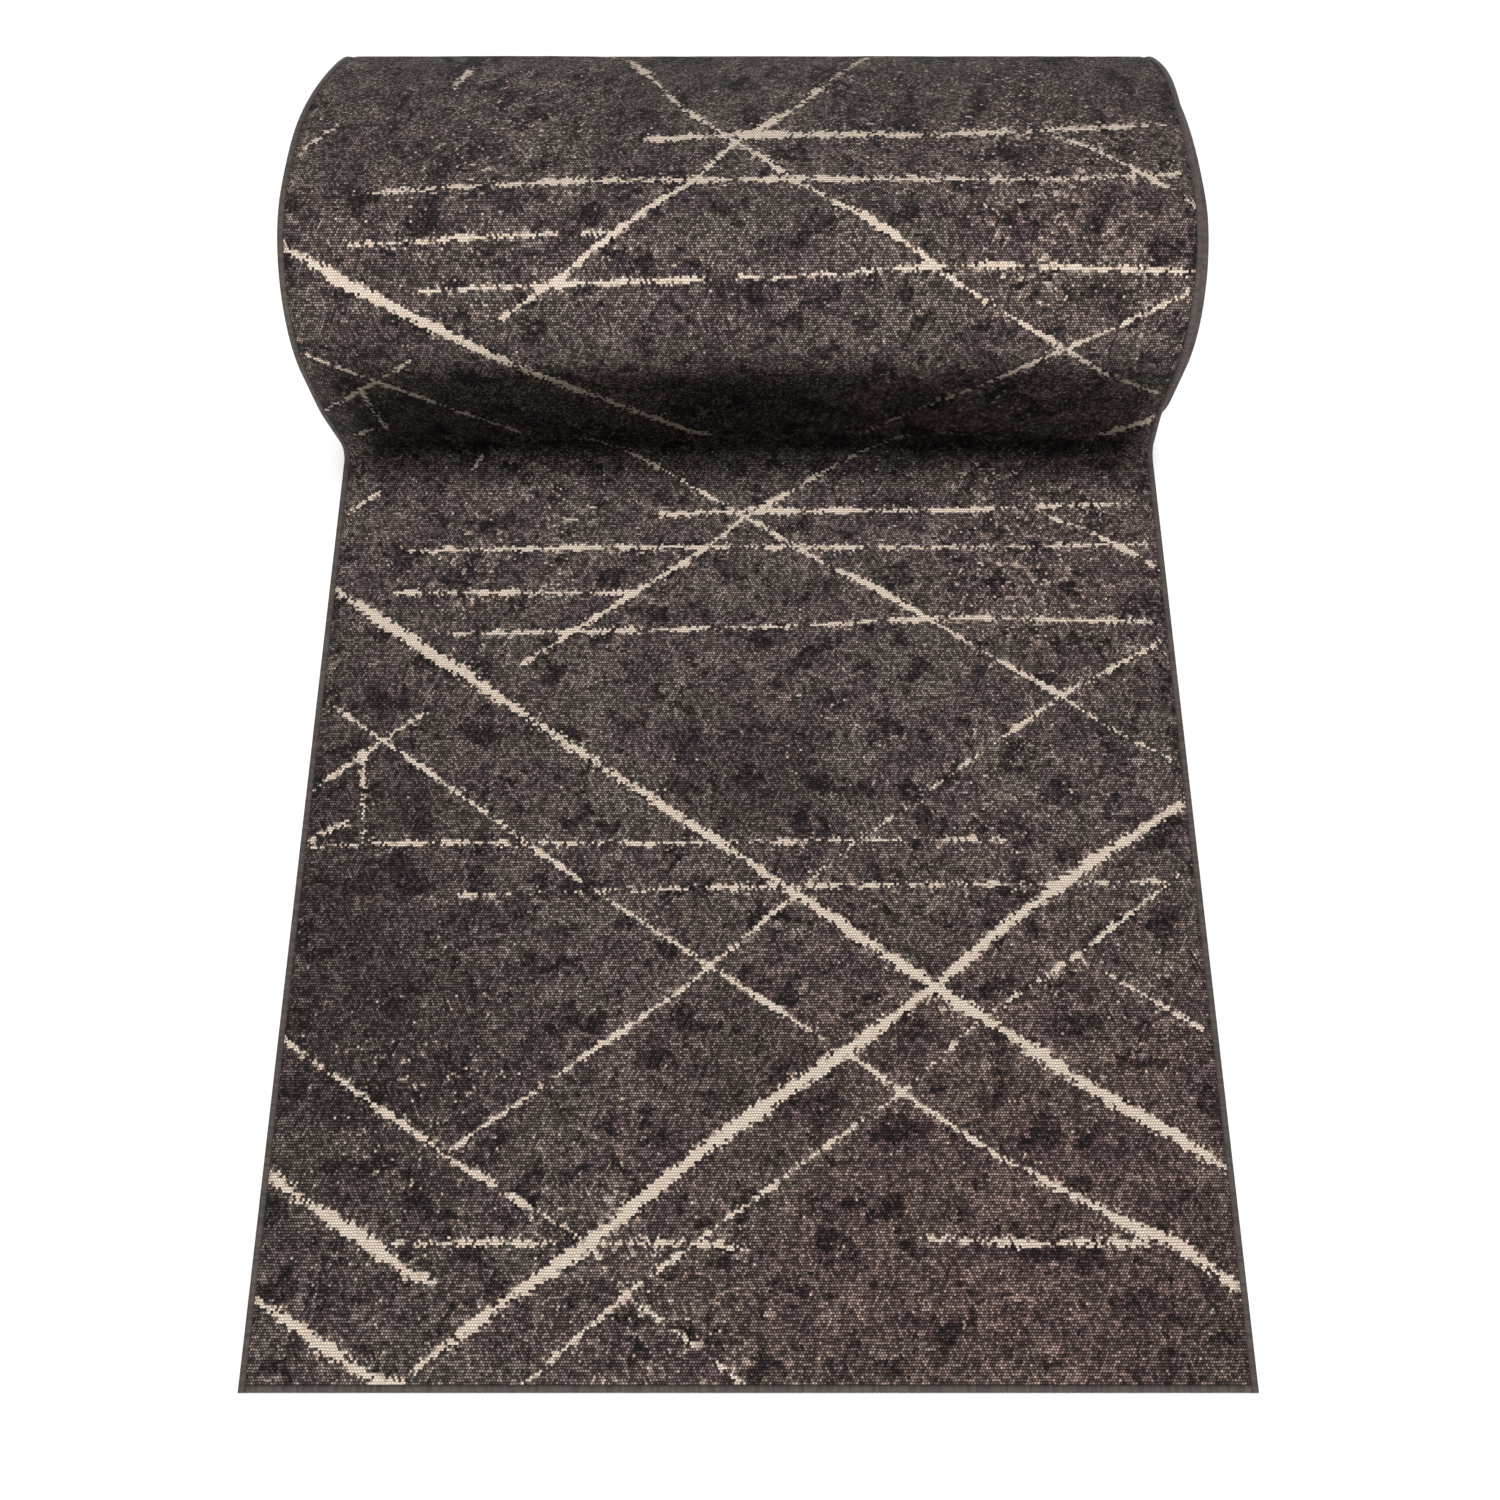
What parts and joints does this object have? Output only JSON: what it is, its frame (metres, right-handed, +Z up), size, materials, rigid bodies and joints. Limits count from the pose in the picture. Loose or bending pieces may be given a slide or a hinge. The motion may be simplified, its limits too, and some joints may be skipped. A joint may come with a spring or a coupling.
{
  "type": "runner rug",
  "caption": "Long narrow pile rug with wrapped edges, lying flat at its front and loosely rolled up, pile outwards, at its far end.",
  "frame": {"origin": "on the floor, at the middle of the object's box", "axes": "+X across the rug, +Y along it from the front cut end towards the roll, +Z up from the floor"},
  "size_m": [0.9, 1.4032, 0.2703],
  "materials": {
    "pile_yarn": "loop pile, matte",
    "primary_weave": "woven tape, matte",
    "latex": "matte",
    "felt": "needled felt, matte",
    "serging_yarn": "twisted yarn, matte"
  },
  "bodies": {
    "root": {"felt_backing": "felt", "latex_coat": "latex", "primary_backing": "primary_weave", "pile": "pile_yarn", "serging_left": "serging_yarn", "serging_right": "serging_yarn", "serging_front_end": "serging_yarn", "serging_inner_end": "serging_yarn"}
  },
  "joints": []
}
